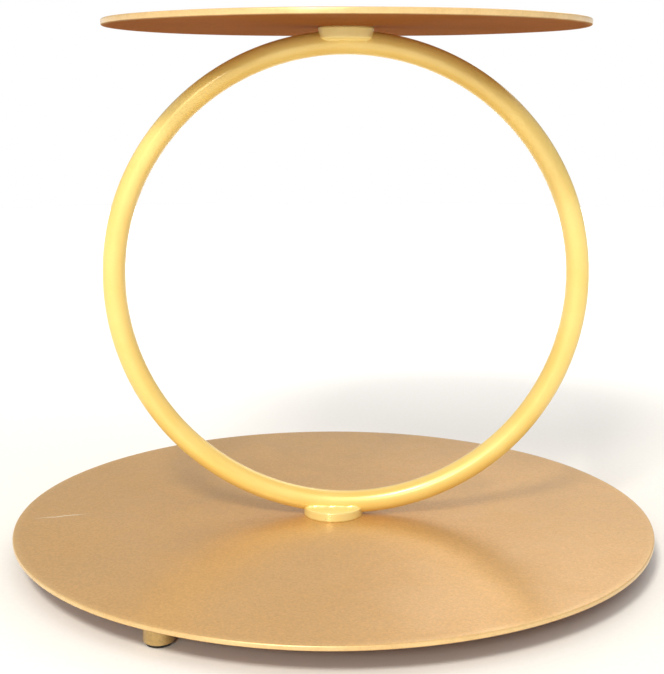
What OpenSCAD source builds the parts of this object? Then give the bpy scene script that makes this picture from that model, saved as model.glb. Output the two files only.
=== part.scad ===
// Two-tier cake stand: two round sheet-metal plates held apart by an upright ring of round bar.
// The ring is brazed into a short boss at its foot and another at its crown, and one screw at
// each end clamps a plate to its boss. Three stub feet with rubber pads carry the lower plate.
// Origin: centre of the lower plate, on the surface that the foot pads stand on. +Z is up and
// the ring stands in the XZ plane.

/* [Lower plate] */
// Diameter of the lower plate
lower_plate_d = 266; // [200:1:400]
// Thickness of the lower plate's sheet
lower_plate_t = 2; // [1.5:0.1:4]

/* [Upper plate] */
// Diameter of the upper plate
upper_plate_d = 192; // [120:1:360]
// Thickness of the upper plate's sheet, which takes the whole countersunk head of its screw
upper_plate_t = 2.4; // [2.2:0.1:4]
// Radius that the rims of both plates are dressed to
rim_r = 0.6; // [0.2:0.05:0.7]

/* [Support ring] */
// Outside diameter of the support ring
ring_d = 200; // [120:1:300]
// Diameter of the round bar that the ring is rolled from
bar_d = 9.5; // [7:0.5:14]
// How far the ring and upper plate stand to the right of the lower plate's centre
ring_shift = 5; // [0:0.5:6]

/* [Bosses] */
// Diameter of the lower boss
lower_boss_d = 25; // [20:0.5:40]
// Diameter of the upper boss
upper_boss_d = 22; // [16:0.5:40]
// Gap between the lower plate and the ring's bar
lower_gap = 0.4; // [0.4:0.1:4]
// Gap between the ring's bar and the upper plate
upper_gap = 1.2; // [0.4:0.1:4]
// How deep the bar is let into each boss
saddle_depth = 3.4; // [2:0.1:3.5]
// Chamfer round the free edge of each boss
boss_chamfer = 0.5; // [0.2:0.1:1]

/* [Fasteners] */
// Thread diameter of both screws
screw_d = 4; // [3:0.5:5]
// Depth of thread that each screw has in the ring's bar
thread_depth = 5; // [3:0.5:5.5]
// Room round the screws in the plates, bosses and washers
clearance = 0.25; // [0.15:0.05:0.4]
// Diameter of the lower screw's button head
button_head_d = 7.6; // [7:0.1:10]
// Height of the lower screw's button head
button_head_h = 2.2; // [1.8:0.1:3]
// Width across the flats of the hexagon socket in each screw
socket_w = 2.5; // [2:0.1:2.5]
// Depth of the hexagon socket in each screw
socket_depth = 1.3; // [1:0.1:1.4]
// Outside diameter of the spring washer
spring_washer_d = 7.6; // [7:0.1:10]
// Thickness of the spring washer
spring_washer_t = 0.9; // [0.6:0.1:1.2]
// Outside diameter of the flat washer
flat_washer_d = 9; // [8:0.5:16]
// Thickness of the flat washer
flat_washer_t = 0.8; // [0.5:0.1:1.5]

/* [Feet] */
// Diameter of each stub foot
foot_d = 11; // [8:0.5:20]
// Height of each stub foot
foot_h = 8.8; // [7:0.2:20]
// Distance from the lower plate's rim to the middle of each foot
foot_inset = 12; // [8:0.5:40]
// Wall of each foot round its rubber pad
pad_wall = 0.9; // [0.7:0.1:2.5]
// How far each pad is let into its foot
pad_recess = 0.8; // [0.4:0.1:1.5]
// How far each pad stands out of its foot
pad_proud = 1.2; // [0.6:0.1:3]

/* [Hidden] */
$fn = 96;

// Heights of the faces, from the foot pads up
lower_plate_z = pad_proud + foot_h;
lower_top_z = lower_plate_z + lower_plate_t;
ring_bottom_z = lower_top_z + lower_gap;
ring_z = ring_bottom_z + ring_d / 2;
ring_top_z = ring_bottom_z + ring_d;
upper_plate_z = ring_top_z + upper_gap;
upper_top_z = upper_plate_z + upper_plate_t;

// The bosses reach from their plate to the saddle that holds the bar
lower_boss_h = lower_gap + saddle_depth;
upper_boss_h = upper_gap + saddle_depth;

// Holes: the clearance hole lets the screw through, the thread is a plain bore with a close fit
screw_r = screw_d / 2;
clear_r = screw_r + clearance;
thread_fit = 0.05;
tip_room = 0.5;
countersink_r = screw_d;
// Overshoot of the cutting shapes
cut = 1;

// One foot lies on the ring's own line and the other two are spaced evenly from it
foot_circle_r = lower_plate_d / 2 - foot_inset;
right_foot_angle = 0;
rear_foot_angle = 120;
front_foot_angle = 240;
foot_chamfer = 0.4;
pad_fit = 0.1;
pad_d = foot_d - 2 * (pad_wall + pad_fit);
spring_washer_slit = 0.8;

// Flat disc whose bottom face is at z = 0, with its rim rounded above and below
module disc(d, t) {
    flank = d / 2 - rim_r;
    rotate_extrude($fn = 180) {
        square([flank, t]);
        translate([0, rim_r]) square([d / 2, t - 2 * rim_r]);
        for (y = [rim_r, t - rim_r]) translate([flank, y]) circle(r = rim_r, $fn = 32);
    }
}

// Solid ring of round bar, upright in the XZ plane
module bar_ring() {
    translate([ring_shift, 0, ring_z])
        rotate([90, 0, 0])
            rotate_extrude($fn = 180)
                translate([(ring_d - bar_d) / 2, 0]) circle(d = bar_d, $fn = 48);
}

// Turned disc with its chamfered edge on top, standing on z = 0
module boss_blank(d, h) {
    cylinder(d = d, h = h - boss_chamfer);
    translate([0, 0, h - boss_chamfer])
        cylinder(d1 = d, d2 = d - 2 * boss_chamfer, h = boss_chamfer);
}

module hexagon_socket(depth) {
    cylinder(d = socket_w / cos(30), h = depth + cut, $fn = 6);
}

module lower_plate() {
    color("burlywood")
        difference() {
            translate([0, 0, lower_plate_z]) disc(lower_plate_d, lower_plate_t);
            translate([0, 0, lower_plate_z - cut])
                cylinder(r = clear_r, h = lower_plate_t + 2 * cut);
        }
}

// Clearance hole for the upper screw, countersunk from the top face of the upper plate
module upper_screw_hole() {
    sink_depth = countersink_r - clear_r;
    boss_end_z = upper_plate_z - upper_boss_h;
    translate([ring_shift, 0, boss_end_z - cut])
        cylinder(r = clear_r, h = upper_top_z - boss_end_z + 2 * cut);
    translate([ring_shift, 0, upper_top_z - sink_depth])
        cylinder(r1 = clear_r, r2 = countersink_r + cut, h = sink_depth + cut);
}

module upper_plate() {
    color("peru")
        difference() {
            translate([ring_shift, 0, upper_plate_z]) disc(upper_plate_d, upper_plate_t);
            upper_screw_hole();
        }
}

module support_ring() {
    bore_r = screw_r + thread_fit;
    bore_h = thread_depth + tip_room;
    color("goldenrod")
        difference() {
            bar_ring();
            translate([0, 0, ring_bottom_z - cut]) cylinder(r = bore_r, h = bore_h + cut);
            translate([ring_shift, 0, ring_top_z - bore_h]) cylinder(r = bore_r, h = bore_h + cut);
        }
}

module lower_boss() {
    color("khaki")
        difference() {
            translate([0, 0, lower_top_z]) boss_blank(lower_boss_d, lower_boss_h);
            bar_ring();
            translate([0, 0, lower_top_z - cut])
                cylinder(r = clear_r, h = lower_boss_h + 2 * cut);
        }
}

module upper_boss() {
    color("gold")
        difference() {
            translate([ring_shift, 0, upper_plate_z])
                mirror([0, 0, 1]) boss_blank(upper_boss_d, upper_boss_h);
            bar_ring();
            upper_screw_hole();
        }
}

// The lower screw stands in its own frame: z = 0 under the head, the shank upwards
module lower_screw() {
    head_z = lower_plate_z - flat_washer_t - spring_washer_t;
    shank_h = ring_bottom_z + thread_depth - head_z;
    // Sphere whose cap is as wide and as high as the button head
    dome_r = (pow(button_head_d / 2, 2) + pow(button_head_h, 2)) / (2 * button_head_h);
    color("silver")
        translate([0, 0, head_z])
            difference() {
                union() {
                    cylinder(d = screw_d, h = shank_h);
                    intersection() {
                        translate([0, 0, dome_r - button_head_h]) sphere(r = dome_r);
                        translate([0, 0, -button_head_h])
                            cylinder(d = button_head_d, h = button_head_h);
                    }
                }
                translate([0, 0, -button_head_h - cut]) hexagon_socket(socket_depth);
            }
}

module spring_washer() {
    color("gray")
        translate([0, 0, lower_plate_z - flat_washer_t - spring_washer_t])
            difference() {
                cylinder(d = spring_washer_d, h = spring_washer_t);
                translate([0, 0, -cut]) cylinder(r = clear_r, h = spring_washer_t + 2 * cut);
                translate([0, -spring_washer_slit / 2, -cut])
                    cube([spring_washer_d, spring_washer_slit, spring_washer_t + 2 * cut]);
            }
}

module flat_washer() {
    color("lightgray")
        translate([0, 0, lower_plate_z - flat_washer_t])
            difference() {
                cylinder(d = flat_washer_d, h = flat_washer_t);
                translate([0, 0, -cut]) cylinder(r = clear_r, h = flat_washer_t + 2 * cut);
            }
}

// Countersunk head flush with the upper plate's top face, shank downwards
module upper_screw() {
    head_h = countersink_r - screw_r;
    tip_z = ring_top_z - thread_depth;
    color("gold")
        translate([ring_shift, 0, 0])
            difference() {
                union() {
                    translate([0, 0, upper_top_z - head_h])
                        cylinder(r1 = screw_r, r2 = countersink_r, h = head_h);
                    translate([0, 0, tip_z]) cylinder(d = screw_d, h = upper_top_z - head_h - tip_z);
                }
                translate([0, 0, upper_top_z - socket_depth]) hexagon_socket(socket_depth);
            }
}

// Moves its children to the place under the lower plate at this angle
module at_foot(angle) {
    rotate([0, 0, angle]) translate([foot_circle_r, 0, 0]) children();
}

// Turned stub with its chamfered edge below, standing on z = 0
module foot_blank() {
    cylinder(d1 = foot_d - 2 * foot_chamfer, d2 = foot_d, h = foot_chamfer);
    translate([0, 0, foot_chamfer]) cylinder(d = foot_d, h = foot_h - foot_chamfer);
}

module foot(angle) {
    color("darkkhaki")
        at_foot(angle)
            difference() {
                translate([0, 0, pad_proud]) foot_blank();
                translate([0, 0, -cut])
                    cylinder(d = pad_d + 2 * pad_fit, h = pad_proud + pad_recess + cut);
            }
}

module foot_pad(angle) {
    color("dimgray")
        at_foot(angle) cylinder(d = pad_d, h = pad_proud + pad_recess);
}

lower_plate();
upper_plate();
support_ring();
lower_boss();
upper_boss();
lower_screw();
spring_washer();
flat_washer();
upper_screw();
foot(right_foot_angle);  // right_foot
foot(rear_foot_angle);  // rear_foot
foot(front_foot_angle);  // front_foot
foot_pad(right_foot_angle);  // right_foot_pad
foot_pad(rear_foot_angle);  // rear_foot_pad
foot_pad(front_foot_angle);  // front_foot_pad
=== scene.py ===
"""Two-tier cake stand: two lacquered sheet-metal plates joined by an upright ring of round bar.

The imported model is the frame: every size and place below is read from its nodes, in metres.
"""

import math

import bmesh
import bpy
import numpy as np
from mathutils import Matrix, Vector


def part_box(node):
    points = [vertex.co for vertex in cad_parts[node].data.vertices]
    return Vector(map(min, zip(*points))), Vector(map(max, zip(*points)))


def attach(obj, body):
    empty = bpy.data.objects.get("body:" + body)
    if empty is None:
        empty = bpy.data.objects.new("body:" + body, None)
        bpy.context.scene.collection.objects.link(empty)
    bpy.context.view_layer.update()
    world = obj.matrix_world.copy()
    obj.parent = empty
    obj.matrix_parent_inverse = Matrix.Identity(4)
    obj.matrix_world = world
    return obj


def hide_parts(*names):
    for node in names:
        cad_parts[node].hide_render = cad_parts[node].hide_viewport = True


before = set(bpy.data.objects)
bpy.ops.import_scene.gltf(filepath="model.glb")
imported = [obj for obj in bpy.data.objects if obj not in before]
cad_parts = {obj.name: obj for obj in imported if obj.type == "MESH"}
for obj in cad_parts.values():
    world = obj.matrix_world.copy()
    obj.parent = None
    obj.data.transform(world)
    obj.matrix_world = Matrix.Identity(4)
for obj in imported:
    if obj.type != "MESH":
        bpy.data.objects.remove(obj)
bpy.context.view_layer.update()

BODY = "root"
MM = 0.001


# ---------------------------------------------------------------------------------------------
# Lower plate
# A disc blanked from 2 mm sheet steel, its rim dressed round, sprayed with satin gold lacquer.
# It lies on three feet and is clamped to the ring's lower boss by one screw from beneath.
# ---------------------------------------------------------------------------------------------

RIM_RADIUS = 0.6 * MM
RIM_WEAR_AND_HIGHLIGHT_REACH = 0.5 * MM
MERGE_DISTANCE = 0.0002 * MM
SCREW_HOLE_RADIUS = 2.25 * MM
# A hand-levelled sheet is out of flat by about a tenth of a millimetre over a hand's width
SHEET_WAVES = ((0.060, 0.3, 0.4), (0.045, 1.4, 2.1), (0.035, 2.5, 4.0))  # mm, direction, phase
WAVE_LENGTHS = (0.150, 0.105, 0.080)


def box_of(node):
    """Lowest and highest corner of a CAD node, as arrays."""
    low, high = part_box(node)
    return np.array(low), np.array(high)


def arc(centre, radius, start, end, count):
    """Points (radius from the axis, height) on an arc: centre + radius * (cos, sin) of each angle."""
    angle = np.radians(np.linspace(start, end, count))
    return np.stack([centre[0] + radius * np.cos(angle), centre[1] + radius * np.sin(angle)], -1)


def line(start, end, count):
    """Points evenly spaced on a straight stretch of a profile, its last point left out."""
    share = np.linspace(0, 1, count, endpoint=False)[:, None]
    return np.array(start) * (1 - share) + np.array(end) * share


def revolve(profile, centre, sides):
    """Grid of a turned shape: each profile point (r, z) goes round the axis at (r cos a, r sin a, z)."""
    angle = np.linspace(0, 2 * np.pi, sides, endpoint=False)
    radius, height = profile[:, 0, None], profile[:, 1, None]
    x = centre[0] + radius * np.cos(angle)
    y = centre[1] + radius * np.sin(angle)
    return np.stack([x, y, np.broadcast_to(height, x.shape)], -1)


def skin(name, grid, rows_meet, node):
    """A closed mesh over a grid of points: quads join neighbours, and columns always meet round.

    rows_meet joins the last row to the first; otherwise both end rows are poles, merged to a point.
    """
    rows, columns = grid.shape[:2]
    row = np.arange(rows if rows_meet else rows - 1)[:, None]
    column = np.arange(columns)[None, :]
    next_row, next_column = (row + 1) % rows, (column + 1) % columns
    corners = [row * columns + column, next_row * columns + column,
               next_row * columns + next_column, row * columns + next_column]
    quads = np.stack(corners, -1).reshape(-1, 4)
    mesh = bpy.data.meshes.new(name)
    mesh.from_pydata(grid.reshape(-1, 3), [], quads)
    shape = bmesh.new()
    shape.from_mesh(mesh)
    bmesh.ops.remove_doubles(shape, verts=shape.verts, dist=MERGE_DISTANCE)
    bmesh.ops.recalc_face_normals(shape, faces=shape.faces)
    shape.to_mesh(mesh)
    shape.free()
    mesh.shade_smooth()
    piece = bpy.data.objects.new(name, mesh)
    bpy.context.scene.collection.objects.link(piece)
    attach(piece, BODY)
    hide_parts(node)
    return piece


def vertices_of(piece):
    """The piece's vertex positions, one row each."""
    points = np.empty(len(piece.data.vertices) * 3)
    piece.data.vertices.foreach_get("co", points)
    return points.reshape(-1, 3)


def mark(piece, name, values):
    """Stores one number or one vector per vertex, for a material to read as an attribute."""
    kind = "FLOAT" if values.ndim == 1 else "FLOAT_VECTOR"
    field = "value" if values.ndim == 1 else "vector"
    layer = piece.data.attributes.new(name, kind, "POINT")
    layer.data.foreach_set(field, values.astype(np.float32).ravel())


def sheet_disc(name, node, hole_top_radius):
    """A round plate as one turned surface, waved by a sum of sines that fades out near its middle.

    The profile runs up the hole, out along the top, round the rim, and back along the underside.
    """
    low, high = box_of(node)
    centre, radius, bottom, top = (low + high) / 2, (high[0] - low[0]) / 2, low[2], high[2]
    flank = radius - RIM_RADIUS
    sink = hole_top_radius - SCREW_HOLE_RADIUS
    profile = np.concatenate([
        line((SCREW_HOLE_RADIUS, bottom), (SCREW_HOLE_RADIUS, top - sink), 2),
        line((SCREW_HOLE_RADIUS, top - sink), (hole_top_radius, top), 3),
        line((hole_top_radius, top), (flank, top), 48),
        arc((flank, top - RIM_RADIUS), RIM_RADIUS, 90, 0, 7),
        arc((flank, bottom + RIM_RADIUS), RIM_RADIUS, 0, -90, 7),
        line((flank, bottom), (SCREW_HOLE_RADIUS, bottom), 48)[1:],
    ])
    grid = revolve(profile, centre, 360)
    away = grid[..., :2] - centre[:2]
    wave = sum(height * MM * np.sin(2 * np.pi / length * (away @ (math.cos(turn), math.sin(turn))) + phase)
               for (height, turn, phase), length in zip(SHEET_WAVES, WAVE_LENGTHS))
    highest = sum(height for height, turn, phase in SHEET_WAVES) * MM
    spread = np.clip((np.hypot(away[..., 0], away[..., 1]) - 15 * MM) / (45 * MM), 0, 1)
    grid[..., 2] += (wave - highest) * spread ** 2 * (3 - 2 * spread)
    piece = skin(name, grid, True, node)
    points = vertices_of(piece)
    reach = np.hypot(points[:, 0] - centre[0], points[:, 1] - centre[1])
    # Lighter near the rim: partly edge wear, partly a painted highlight on the rounded edge
    mark(piece, "rim", np.exp(-(radius - reach) / RIM_WEAR_AND_HIGHLIGHT_REACH))
    # Downward faces take the second finish, a brown lacquer that is painted shade for the underside
    sides = np.empty(len(piece.data.polygons) * 3)
    piece.data.polygons.foreach_get("normal", sides)
    piece.data.polygons.foreach_set("material_index", (sides.reshape(-1, 3)[:, 2] < -0.5).astype(np.int32))
    return piece


def linear(colour):
    """An sRGB hex colour such as "#C9A063" as linear RGBA."""
    share = np.array([int(colour[i:i + 2], 16) for i in (1, 3, 5)]) / 255
    value = np.where(share <= 0.04045, share / 12.92, ((share + 0.055) / 1.055) ** 2.4)
    return (*value, 1.0)


def put(tree, kind, settings=(), **feeds):
    """Adds a node. settings gives sockets by name or number, or the node's own properties; a feed
    joins an output to the socket of that name, with _ for a space and a number as in s0."""
    added = tree.nodes.new("ShaderNode" + kind)
    for key, value in dict(settings).items():
        if isinstance(key, int) or key in added.inputs:
            added.inputs[key].default_value = value
        else:
            setattr(added, key, value)
    for key, source in feeds.items():
        socket = int(key[1:]) if key[1:].isdigit() else key.replace("_", " ")
        tree.links.new(source, added.inputs[socket])
    return added


def new_material(name):
    """An empty node material, with its tree and the shader that its surface comes from."""
    made = bpy.data.materials.new(name)
    made.use_nodes = True
    return made, made.node_tree, made.node_tree.nodes["Principled BSDF"]


# Satin metallic lacquer: flakes of brass-coloured pigment in a clear binder, sprayed and baked.
# The eye sees a soft gloss, a faint grain of flakes, orange peel, and lighter edges: partly bare worn metal,
# partly a painted highlight along the rim.
# The flakes are 0.02 mm across; they are drawn at 0.7 mm, or the grain wouldn't show.
FLAKE = 0.7 * MM
ORANGE_PEEL = 2.2 * MM
WIPE_MARKS = 22 * MM
LACQUER_CLOUDS = 55 * MM
# One light streak on the lower plate, near its left edge: 26 mm long and 1.1 mm wide
LIGHT_STREAK_MIDDLE = (-115 * MM, -3.4 * MM, 12 * MM)
LIGHT_STREAK_TURN = math.radians(17)
LIGHT_STREAK_REACH = (13 * MM, 0.55 * MM, 1.2 * MM)


def gold_lacquer(name, colour, deep_colour, roughness, flake_share, gloss):
    """Sprayed metallic lacquer: colour mixes towards deep_colour where the coat is thick.

    A light streak, a long thin ellipse that wanders a little, turns the lacquer pale cream. It has one place
    in the stand's own space, on the lower plate's top face, so no other piece shows it.
    """
    made, tree, shader = new_material(name)
    where = put(tree, "TexCoord").outputs["Object"]
    clouds = put(tree, "TexNoise", {"Scale": 1 / LACQUER_CLOUDS, "Detail": 3.0}, Vector=where)
    flakes = put(tree, "TexVoronoi", {"Scale": 1 / FLAKE}, Vector=where)
    wipes = put(tree, "TexNoise", {"Scale": 1 / WIPE_MARKS, "Detail": 5.0, "Distortion": 0.8}, Vector=where)
    peel = put(tree, "TexNoise", {"Scale": 1 / ORANGE_PEEL, "Detail": 2.0}, Vector=where)
    coat = put(tree, "MapRange", {"From Min": 0.3, "From Max": 0.7, "To Min": 0.0, "To Max": 0.55},
               Value=clouds.outputs["Fac"])
    body = put(tree, "Mix", {"data_type": "RGBA", 6: linear(colour), 7: linear(deep_colour)},
               Factor=coat.outputs["Result"])
    sparkle = put(tree, "SeparateColor", Color=flakes.outputs["Color"])
    glint = put(tree, "MapRange", {"To Min": 0.90, "To Max": 1.08}, Value=sparkle.outputs["Red"])
    tinted = put(tree, "VectorMath", {"operation": "SCALE"},
                 s0=body.outputs[2], Scale=glint.outputs["Result"])
    # The rim mask lightens the edge towards pale gold: partly bare worn metal, partly a painted highlight
    # along the rounded rim
    worn_and_highlit_rim = put(tree, "Attribute", {"attribute_name": "rim"})
    patchy = put(tree, "TexNoise", {"Scale": 1 / (9 * MM), "Detail": 4.0}, Vector=where)
    wear_and_highlight_patches = put(tree, "MapRange", {"From Min": 0.35, "From Max": 0.65, "To Min": 0.28, "To Max": 0.42},
               Value=patchy.outputs["Fac"])
    bare_and_highlit = put(tree, "Math", {"operation": "MULTIPLY"}, s0=worn_and_highlit_rim.outputs["Fac"], s1=wear_and_highlight_patches.outputs["Result"])
    surface = put(tree, "Mix", {"data_type": "RGBA", 7: linear("#FFE9B0")},
                  Factor=bare_and_highlit.outputs[0], s6=tinted.outputs[0])
    # A pale cream streak near the lower plate's left edge, a long thin ellipse that wanders a little
    wander = put(tree, "TexNoise", {"Scale": 1 / (5 * MM), "Detail": 2.0}, Vector=where)
    near = put(tree, "VectorMath", {"operation": "MULTIPLY_ADD", 1: (0, 2.2 * MM, 0)},
               s0=wander.outputs["Color"], s2=where)
    local = put(tree, "Mapping", {"vector_type": "TEXTURE", "Location": LIGHT_STREAK_MIDDLE,
                                  "Rotation": (0, 0, LIGHT_STREAK_TURN), "Scale": LIGHT_STREAK_REACH},
                Vector=near.outputs[0])
    far = put(tree, "VectorMath", {"operation": "LENGTH"}, s0=local.outputs["Vector"])
    cut = put(tree, "MapRange", {"From Min": 1.0, "From Max": 0.5, "To Max": 0.9},
              Value=far.outputs["Value"])
    streaked = put(tree, "Mix", {"data_type": "RGBA", 7: linear("#F4E3C4")},
                 Factor=cut.outputs["Result"], s6=surface.outputs[2])
    rough = put(tree, "MapRange", {"From Min": 0.3, "From Max": 0.7, "To Min": roughness - 0.06,
                                   "To Max": roughness + 0.08}, Value=wipes.outputs["Fac"])
    relief = put(tree, "Bump", {"Strength": 0.12, "Distance": 0.03 * MM}, Height=peel.outputs["Fac"])
    grain = put(tree, "Bump", {"Strength": 0.15, "Distance": 0.02 * MM},
                Height=sparkle.outputs["Green"], Normal=relief.outputs["Normal"])
    tree.links.new(streaked.outputs[2], shader.inputs["Base Color"])
    tree.links.new(rough.outputs["Result"], shader.inputs["Roughness"])
    tree.links.new(grain.outputs["Normal"], shader.inputs["Normal"])
    shader.inputs["Metallic"].default_value = flake_share
    shader.inputs["Specular IOR Level"].default_value = 0.5 if gloss > 0.1 else 0.0
    shader.inputs["Coat Weight"].default_value = gloss
    shader.inputs["Coat Roughness"].default_value = 0.24
    return made


plate_lacquer = gold_lacquer("satin_champagne_lacquer", "#D4A768", "#CA9C58", 0.35, 0.3, 0.35)
# Undersides: a brown, matt lacquer that is painted shade for the faces that look away from the lamps
underside_painted_shade_lacquer = gold_lacquer("underside_painted_shade_brown_lacquer", "#935A28", "#7E4A20", 0.8, 0.0, 0.03)

lower_plate = sheet_disc("lower_plate_sheet", "lower_plate", SCREW_HOLE_RADIUS)
for finish in (plate_lacquer, underside_painted_shade_lacquer):
    lower_plate.data.materials.append(finish)


# ---------------------------------------------------------------------------------------------
# Feet and their pads
# Three turned steel stubs brazed under the lower plate and lacquered with it. Each holds a
# moulded rubber pad, let into a recess in its end, which grips the table.
# ---------------------------------------------------------------------------------------------

BRAZE_FLARE = 1.1 * MM
FOOT_EDGE = 0.5 * MM
PAD_EDGE = 0.35 * MM
PAD_CLEARANCE = 0.1 * MM
PAD_GROOVE_AT = 0.66  # of the pad's radius
PAD_GROOVE_RADIUS = 0.06  # of the pad's radius

foot_lacquer = gold_lacquer("satin_gold_lacquer_on_feet", "#C9A868", "#B8944F", 0.36, 0.4, 0.6)

# Moulded rubber: matt, nearly black, with the grain of its mould and a little dust
rubber, tree, shader = new_material("black_moulded_rubber")
where = put(tree, "TexCoord").outputs["Object"]
mould_grain = put(tree, "TexNoise", {"Scale": 1 / (0.5 * MM), "Detail": 4.0}, Vector=where)
dust = put(tree, "TexNoise", {"Scale": 1 / (4 * MM), "Detail": 3.0}, Vector=where)
dusty = put(tree, "MapRange", {"From Min": 0.5, "From Max": 0.75, "To Max": 0.35}, Value=dust.outputs["Fac"])
tone = put(tree, "Mix", {"data_type": "RGBA", 6: linear("#2A2724"), 7: linear("#6E6860")},
           Factor=dusty.outputs["Result"])
matt = put(tree, "MapRange", {"To Min": 0.6, "To Max": 0.85}, Value=mould_grain.outputs["Fac"])
pimples = put(tree, "Bump", {"Strength": 0.5, "Distance": 0.05 * MM}, Height=mould_grain.outputs["Fac"])
tree.links.new(tone.outputs[2], shader.inputs["Base Color"])
tree.links.new(matt.outputs["Result"], shader.inputs["Roughness"])
tree.links.new(pimples.outputs["Normal"], shader.inputs["Normal"])

for side in ("right", "rear", "front"):
    low, high = box_of(side + "_foot")
    pad_low, pad_high = box_of(side + "_foot_pad")
    centre, radius, bottom, top = (low + high) / 2, (high[0] - low[0]) / 2, low[2], high[2]
    pad_radius, recess_top = (pad_high[0] - pad_low[0]) / 2, pad_high[2]
    wall = pad_radius + PAD_CLEARANCE
    stub = np.concatenate([
        line((0, recess_top), (wall, recess_top), 4),
        line((wall, recess_top), (wall, bottom), 3),
        arc((radius - FOOT_EDGE, bottom + FOOT_EDGE), FOOT_EDGE, -90, 0, 6),
        line((radius, bottom + FOOT_EDGE), (radius, top - BRAZE_FLARE), 6)[1:],
        arc((radius + BRAZE_FLARE, top - BRAZE_FLARE), BRAZE_FLARE, 180, 90, 8),
        line((radius + BRAZE_FLARE, top), (0, top), 6)[1:],
        [(0, top)],
    ])
    foot = skin(side + "_foot_stub", revolve(stub, centre, 72), False, side + "_foot")
    points = vertices_of(foot)
    mark(foot, "rim", 0.7 * np.exp(-np.abs(points[:, 2] - bottom) / (0.4 * MM)))
    foot.data.materials.append(foot_lacquer)

    groove, groove_radius = PAD_GROOVE_AT * pad_radius, PAD_GROOVE_RADIUS * pad_radius
    disc = np.concatenate([
        line((0, recess_top), (pad_radius, recess_top), 4),
        line((pad_radius, recess_top), (pad_radius, PAD_EDGE), 4),
        arc((pad_radius - PAD_EDGE, PAD_EDGE), PAD_EDGE, 0, -90, 6),
        line((pad_radius - PAD_EDGE, 0), (groove + groove_radius, 0), 3)[1:],
        arc((groove, 0), groove_radius, 0, 180, 5),
        line((groove - groove_radius, 0), (0, 0), 4)[1:],
        [(0, 0)],
    ])
    pad = skin(side + "_foot_pad_rubber", revolve(disc, centre, 64), False,
               side + "_foot_pad")
    pad.data.materials.append(rubber)


# ---------------------------------------------------------------------------------------------
# Support ring
# 9.5 mm round bar rolled to a hoop, its ends butted inside the lower boss, polished along its
# length with a belt and lacquered in a brighter gold than the plates.
# ---------------------------------------------------------------------------------------------

ring_low, ring_high = box_of("support_ring")
ring_centre = (ring_low + ring_high) / 2
bar_radius = (ring_high[1] - ring_low[1]) / 2
hoop_radius = (ring_high[0] - ring_low[0]) / 2 - bar_radius

hoop_angle = np.linspace(0, 2 * np.pi, 720, endpoint=False)[:, None]
bar_angle = np.linspace(0, 2 * np.pi, 96, endpoint=False)[None, :]
# Rolling leaves the hoop out of round by a few hundredths of a millimetre
out_of_round = 0.05 * MM * np.sin(3 * hoop_angle + 0.6) + 0.03 * MM * np.sin(7 * hoop_angle + 2.0)
reach = hoop_radius + out_of_round + bar_radius * np.cos(bar_angle)
# A point on the bar is (reach sin a, bar radius sin b, -reach cos a), with a = 0 at the foot
bar_grid = np.stack([
    ring_centre[0] + reach * np.sin(hoop_angle),
    np.broadcast_to(bar_radius * np.sin(bar_angle), reach.shape),
    ring_centre[2] - reach * np.cos(hoop_angle),
], -1)
ring = skin("support_ring_bar", bar_grid, True, "support_ring")
points = vertices_of(ring) - ring_centre
round_hoop = np.mod(np.arctan2(points[:, 0], -points[:, 2]), 2 * np.pi)
across = np.hypot(points[:, 0], points[:, 2]) - hoop_radius
# Place along the bar, and across it in two directions: a pattern that follows the bar's length
mark(ring, "along_bar", np.stack([round_hoop * hoop_radius, points[:, 1], across], -1))

# Belt-polished bar under bright lacquer: fine lines along its length, a smooth bright gloss.
# Belt lines are 0.05 mm wide; they are drawn 1.4 mm wide and 60 mm long.
bar_lacquer, tree, shader = new_material("bright_gold_lacquer_on_polished_bar")
place = put(tree, "Attribute", {"attribute_name": "along_bar"}).outputs["Vector"]
stretched = put(tree, "Mapping", {"Scale": (1 / (60 * MM), 1 / (1.4 * MM), 1 / (1.4 * MM))}, Vector=place)
belt_lines = put(tree, "TexNoise", {"Scale": 1.0, "Detail": 3.0}, Vector=stretched.outputs["Vector"])
where = put(tree, "TexCoord").outputs["Object"]
clouds = put(tree, "TexNoise", {"Scale": 1 / (30 * MM), "Detail": 3.0}, Vector=where)
peel = put(tree, "TexNoise", {"Scale": 1 / (3.0 * MM), "Detail": 1.0}, Vector=where)
flakes = put(tree, "TexVoronoi", {"Scale": 1 / FLAKE}, Vector=where)
thick = put(tree, "MapRange", {"From Min": 0.3, "From Max": 0.7, "To Max": 0.7}, Value=clouds.outputs["Fac"])
body = put(tree, "Mix", {"data_type": "RGBA", 6: linear("#F4D882"), 7: linear("#ECC766")},
           Factor=thick.outputs["Result"])
glint = put(tree, "MapRange", {"To Min": 0.98, "To Max": 1.02}, Value=flakes.outputs["Distance"])
tinted = put(tree, "VectorMath", {"operation": "SCALE"}, s0=body.outputs[2], Scale=glint.outputs["Result"])
rough = put(tree, "MapRange", {"From Min": 0.3, "From Max": 0.7, "To Min": 0.3, "To Max": 0.42},
            Value=belt_lines.outputs["Fac"])
lines = put(tree, "Bump", {"Strength": 0.15, "Distance": 0.02 * MM}, Height=belt_lines.outputs["Fac"])
relief = put(tree, "Bump", {"Strength": 0.1, "Distance": 0.02 * MM}, Height=peel.outputs["Fac"],
             Normal=lines.outputs["Normal"])
tree.links.new(tinted.outputs[0], shader.inputs["Base Color"])
tree.links.new(rough.outputs["Result"], shader.inputs["Roughness"])
tree.links.new(relief.outputs["Normal"], shader.inputs["Normal"])
shader.inputs["Metallic"].default_value = 0.15
shader.inputs["Coat Weight"].default_value = 0.4
shader.inputs["Coat Roughness"].default_value = 0.16
ring.data.materials.append(bar_lacquer)


# ---------------------------------------------------------------------------------------------
# Bosses
# Two short turned steel discs, each with a saddle across one face that the bar is brazed into.
# The braze runs up the bar's flanks in a small hollow fillet, and lacquer covers the joint.
# ---------------------------------------------------------------------------------------------

BOSS_EDGE = 0.5 * MM
BRAZE_FILLET = 1.3 * MM


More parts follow.
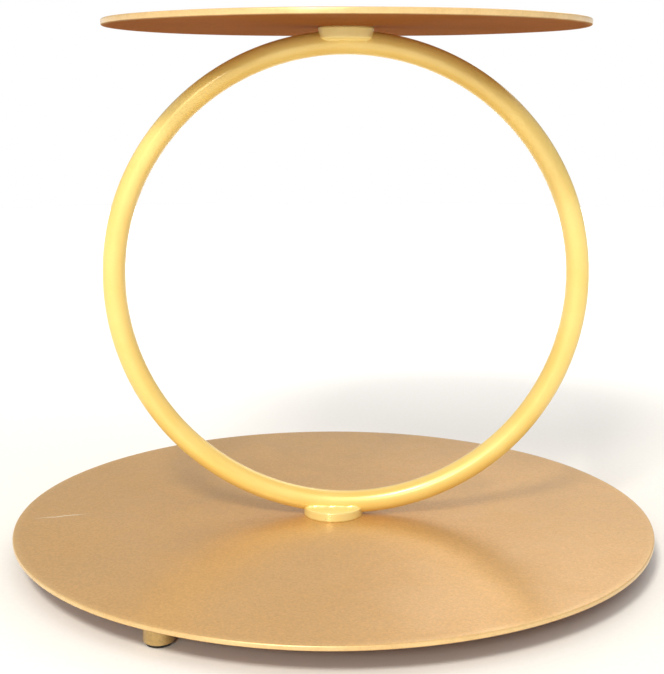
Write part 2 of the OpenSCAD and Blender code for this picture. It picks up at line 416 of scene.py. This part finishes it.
def boss(name, node, plate_side):
    """A turned disc whose saddle face rises to the bar: its height above the plate is
    h + f * (1 - sqrt(1 - (1 - t)^2)), where t runs from 0 at the bar's flank to 1 at f from it."""
    low, high = box_of(node)
    centre, radius, height = (low + high) / 2, (high[0] - low[0]) / 2, high[2] - low[2]
    flat = radius - BOSS_EDGE
    profile = np.concatenate([
        line((SCREW_HOLE_RADIUS, 0), (radius, 0), 8),
        line((radius, 0), (radius, height - BOSS_EDGE), 5),
        arc((flat, height - BOSS_EDGE), BOSS_EDGE, 0, 90, 6),
        line((flat, height), (SCREW_HOLE_RADIUS, height), 48)[1:],
        [(SCREW_HOLE_RADIUS, height)],
    ])
    grid = revolve(profile, centre, 192)
    across = np.abs(grid[..., 1] - centre[1])
    along = grid[..., 0] - centre[0]
    outward = np.hypot(along, across)
    fillet = BRAZE_FILLET * (1 + 0.12 * np.sin(along / (1.1 * MM)) + 0.08 * np.sin(along / (0.6 * MM) + 1))
    fillet = fillet * np.clip((flat - outward) / (1.2 * MM), 0, 1) + 0.01 * MM
    share = np.clip((across - 0.97 * bar_radius) / fillet, 0, 1)
    rise = fillet * (1 - np.sqrt(1 - (1 - share) ** 2))
    face = grid[..., 2] > height - 0.01 * MM
    grid[..., 2] += np.where(face, rise, 0)
    grid[..., 2] = low[2] + grid[..., 2] if plate_side < 0 else high[2] - grid[..., 2]
    piece = skin(name, grid, True, node)
    points = vertices_of(piece)
    from_axis = np.hypot(points[:, 0] - centre[0], points[:, 1] - centre[1])
    mark(piece, "from_axis", from_axis)
    return piece


# Turned steel under bright lacquer: faint rings from the lathe, and orange peel.
# The rings are 0.2 mm apart; they are drawn 0.9 mm apart.
boss_lacquer, tree, shader = new_material("bright_gold_lacquer_on_turned_steel")
place = put(tree, "Attribute", {"attribute_name": "from_axis"}).outputs["Fac"]
where = put(tree, "TexCoord").outputs["Object"]
feed = put(tree, "Math", {"operation": "MULTIPLY", 1: 2 * math.pi / (0.9 * MM)}, s0=place)
tool_rings = put(tree, "Math", {"operation": "SINE"}, s0=feed.outputs[0])
peel = put(tree, "TexNoise", {"Scale": 1 / (1.6 * MM), "Detail": 2.0}, Vector=where)
clouds = put(tree, "TexNoise", {"Scale": 1 / (6 * MM), "Detail": 4.0}, Vector=where)
body = put(tree, "Mix", {"data_type": "RGBA", 6: linear("#FAE6A0"), 7: linear("#F3DA86")},
           Factor=clouds.outputs["Fac"])
rough = put(tree, "MapRange", {"From Min": 0.3, "From Max": 0.7, "To Min": 0.26, "To Max": 0.42},
            Value=clouds.outputs["Fac"])
rings = put(tree, "Bump", {"Strength": 0.2, "Distance": 0.01 * MM}, Height=tool_rings.outputs[0])
relief = put(tree, "Bump", {"Strength": 0.15, "Distance": 0.03 * MM}, Height=peel.outputs["Fac"],
             Normal=rings.outputs["Normal"])
tree.links.new(body.outputs[2], shader.inputs["Base Color"])
tree.links.new(rough.outputs["Result"], shader.inputs["Roughness"])
tree.links.new(relief.outputs["Normal"], shader.inputs["Normal"])
shader.inputs["Metallic"].default_value = 0.2
shader.inputs["Coat Weight"].default_value = 0.4
shader.inputs["Coat Roughness"].default_value = 0.14

for node, plate_side in (("lower_boss", -1), ("upper_boss", 1)):
    boss(node + "_turned", node, plate_side).data.materials.append(boss_lacquer)


# ---------------------------------------------------------------------------------------------
# Lower screw and its washers
# An M4 button-head screw with a hexagon socket goes up through a spring washer, a flat washer,
# the plate and the boss into the bar. All three are steel, plated with bright zinc.
# ---------------------------------------------------------------------------------------------

THREAD_PITCH = 0.7 * MM
THREAD_DEPTH = 0.38 * MM
SOCKET_WIDTH = 2.5 * MM
SOCKET_DEPTH = 1.3 * MM
SHANK_RADIUS = 2 * MM
SCREW_SIDES = 72
TIP_CHAMFER = 0.4 * MM
BUTTON_HEAD_HEIGHT = 2.2 * MM
THREAD_RUNOUT = 0.3 * MM


def screw(name, node, head, head_end, upward):
    """A screw as one surface from its tip to its socket's floor, (r cos a, r sin a, z) round the axis.

    The thread takes depth * |2 frac(z / pitch - a / 2 pi) - 1| off the radius, and the socket's
    radius is half its width over the cosine of the angle from the nearest flat.
    """
    low, high = box_of(node)
    centre, length = (low + high) / 2, high[2] - low[2]
    shank = np.concatenate([
        [(0, 0)],
        line((SHANK_RADIUS - TIP_CHAMFER, 0), (SHANK_RADIUS, TIP_CHAMFER), 2),
        line((SHANK_RADIUS, TIP_CHAMFER), (SHANK_RADIUS, length - head_end - THREAD_RUNOUT), 90),
        [(SHANK_RADIUS, length - head_end)],
    ])
    floor = length - SOCKET_DEPTH
    profile = np.concatenate([shank, head + (0, length)])
    turn = np.linspace(0, 2 * np.pi, SCREW_SIDES, endpoint=False)[None, :]
    radius = np.broadcast_to(profile[:, 0, None], (len(profile), SCREW_SIDES)).copy()
    height = np.broadcast_to(profile[:, 1, None], radius.shape)
    cut = np.abs(2 * np.mod(height / THREAD_PITCH - turn / (2 * np.pi), 1) - 1)
    threaded = (np.arange(len(profile)) > 2) & (np.arange(len(profile)) < len(shank) - 1)
    radius -= np.where(threaded[:, None], THREAD_DEPTH * cut, 0)
    flat = np.mod(turn + np.pi / 6, np.pi / 3) - np.pi / 6
    socket = SOCKET_WIDTH / 2 / np.cos(flat)
    socket_radius = np.concatenate([socket * share for share in (1.06, 1, 1, 0.5, 0)])
    socket_height = np.array([length, length - 0.1 * MM, floor, floor, floor])[:, None]
    radius = np.concatenate([radius, socket_radius])
    height = np.concatenate([height, np.broadcast_to(socket_height, socket_radius.shape)])
    z = low[2] + height if upward else high[2] - height
    grid = np.stack([centre[0] + radius * np.cos(turn), centre[1] + radius * np.sin(turn), z], -1)
    return skin(name, grid, False, node)


def plated_steel(name, colour, shade, roughness):
    """Bright electroplate on steel: a metal with a faint mottle, and fine scratches from handling."""
    made, tree, shader = new_material(name)
    where = put(tree, "TexCoord").outputs["Object"]
    mottle = put(tree, "TexNoise", {"Scale": 1 / (1.5 * MM), "Detail": 5.0}, Vector=where)
    rubs = put(tree, "Mapping", {"Scale": (1 / (0.2 * MM), 1 / (2.5 * MM), 1 / (0.2 * MM))}, Vector=where)
    scratches = put(tree, "TexNoise", {"Scale": 1.0, "Detail": 2.0}, Vector=rubs.outputs["Vector"])
    tone = put(tree, "Mix", {"data_type": "RGBA", 6: linear(colour), 7: linear(shade)},
               Factor=mottle.outputs["Fac"])
    rough = put(tree, "MapRange", {"To Min": roughness - 0.08, "To Max": roughness + 0.14},
                Value=scratches.outputs["Fac"])
    relief = put(tree, "Bump", {"Strength": 0.2, "Distance": 0.01 * MM}, Height=scratches.outputs["Fac"])
    tree.links.new(tone.outputs[2], shader.inputs["Base Color"])
    tree.links.new(rough.outputs["Result"], shader.inputs["Roughness"])
    tree.links.new(relief.outputs["Normal"], shader.inputs["Normal"])
    shader.inputs["Metallic"].default_value = 1.0
    return made


zinc = plated_steel("bright_zinc_plated_steel", "#C9CBCB", "#A9ABA8", 0.3)
low, high = box_of("lower_screw")
head_radius = (high[0] - low[0]) / 2
dome_radius = (head_radius ** 2 + BUTTON_HEAD_HEIGHT ** 2) / (2 * BUTTON_HEAD_HEIGHT)
dome_angle = math.degrees(math.asin(head_radius / dome_radius))
button = arc((0, -dome_radius), dome_radius, 90 - dome_angle, 90 - 0.42 * dome_angle, 12)
lower_screw = screw("lower_button_head_screw", "lower_screw",
                    button, BUTTON_HEAD_HEIGHT, False)
lower_screw.data.materials.append(zinc)
for node in ("spring_washer", "flat_washer"):
    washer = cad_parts[node].data.materials
    washer.clear()
    washer.append(zinc)


# ---------------------------------------------------------------------------------------------
# Upper plate
# The same sheet work as the lower plate, smaller and a little thicker, because it takes the
# whole head of the countersunk screw that clamps it to the ring's upper boss.
# ---------------------------------------------------------------------------------------------

screw_low, screw_high = box_of("upper_screw")
countersunk_radius = (screw_high[0] - screw_low[0]) / 2
upper_plate = sheet_disc("upper_plate_sheet", "upper_plate", countersunk_radius)
for finish in (plate_lacquer, underside_painted_shade_lacquer):
    upper_plate.data.materials.append(finish)


# ---------------------------------------------------------------------------------------------
# Upper screw
# An M4 countersunk screw with a hexagon socket, brass plated, flush with the plate's top face.
# ---------------------------------------------------------------------------------------------

brass = plated_steel("brass_plated_steel", "#E0BE78", "#C79F58", 0.26)
cone_height = countersunk_radius - SHANK_RADIUS
cone = np.array([(countersunk_radius, -0.15 * MM), (countersunk_radius - 0.1 * MM, 0)])
upper_screw = screw("upper_countersunk_screw", "upper_screw", cone, cone_height, True)
upper_screw.data.materials.append(brass)


# ---------------------------------------------------------------------------------------------
# Studio: a pale floor, soft lamps and the camera
# ---------------------------------------------------------------------------------------------

FLOOR_RADIUS = 1.6

floor_mesh = bpy.data.meshes.new("studio_floor")
rim = np.linspace(0, 2 * np.pi, 128, endpoint=False)
floor_points = np.stack([FLOOR_RADIUS * np.cos(rim), FLOOR_RADIUS * np.sin(rim), np.zeros(128)], -1)
floor_mesh.from_pydata(floor_points, [], [list(range(128))])
floor = bpy.data.objects.new("studio_floor", floor_mesh)
bpy.context.scene.collection.objects.link(floor)

# Matt paper sweep: white, with a faint tooth
paper, tree, shader = new_material("white_paper_sweep")
where = put(tree, "TexCoord").outputs["Object"]
tooth = put(tree, "TexNoise", {"Scale": 1 / (2 * MM), "Detail": 3.0}, Vector=where)
tone = put(tree, "Mix", {"data_type": "RGBA", 6: linear("#F6F4F0"), 7: linear("#FCFBF9")},
           Factor=tooth.outputs["Fac"])
tree.links.new(tone.outputs[2], shader.inputs["Base Color"])
shader.inputs["Roughness"].default_value = 0.9
shader.inputs["Specular IOR Level"].default_value = 0.1
floor_mesh.materials.append(paper)

# The walls are bright at the horizon and fall off above it; the ceiling is a soft grey
world = bpy.data.worlds.new("studio")
world.use_nodes = True
tree = world.node_tree
upward = put(tree, "SeparateXYZ", Vector=put(tree, "TexCoord").outputs["Generated"])
walls = put(tree, "ValToRGB", Fac=upward.outputs["Z"])
ramp = walls.color_ramp
ramp.elements[0].position, ramp.elements[0].color = 0.075, (1.0, 1.0, 1.0, 1.0)
ramp.elements[1].position, ramp.elements[1].color = 0.11, (0.27, 0.265, 0.255, 1.0)
ramp.elements.new(0.8).color = (0.8, 0.8, 0.8, 1.0)
tree.links.new(walls.outputs["Color"], tree.nodes["Background"].inputs["Color"])
bpy.context.scene.world = world


def lamp(name, place, aim, width, height, power, spread, colour):
    """A rectangular area lamp at a place, turned to face a point; spread is its beam in degrees."""
    light = bpy.data.lights.new(name, "AREA")
    light.shape = "RECTANGLE"
    light.size, light.size_y, light.energy, light.color = width, height, power, linear(colour)[:3]
    light.spread = math.radians(spread)
    holder = bpy.data.objects.new(name, light)
    bpy.context.scene.collection.objects.link(holder)
    holder.location = place
    holder.rotation_euler = (Vector(aim) - Vector(place)).to_track_quat("-Z", "Y").to_euler()


lamp("key_softbox", (-0.33, -1.02, 1.15), (0.0, 0.0, 0.08), 0.3, 0.3, 13, 180, "#FFF9EC")
lamp("front_softbox", (-0.38, -1.5, 0.68), (0.0, 0.0, 0.1), 0.3, 0.3, 6.5, 180, "#FFF9EC")
lamp("rear_softbox", (0.48, 1.4, 0.95), (0.05, -0.08, 0.012), 0.8, 0.46, 3.0, 180, "#FFF6E6")
lamp("backdrop_softbox", (0.0, 1.0, 1.3), (0.0, 1.7, 0.0), 1.4, 0.5, 22, 125, "#FFFFFF")

LENS = 68.84  # millimetres, on a 36 mm wide sensor
camera_data = bpy.data.cameras.new("camera")
camera_data.lens = LENS
camera_data.clip_start = 0.01
camera = bpy.data.objects.new("camera", camera_data)
bpy.context.scene.collection.objects.link(camera)
camera.location = (0.0015, -0.5250, 0.1904)
camera.rotation_euler = (math.radians(79.0), 0, math.radians(0.23))
bpy.context.scene.camera = camera
bpy.context.scene.view_settings.view_transform = "Standard"
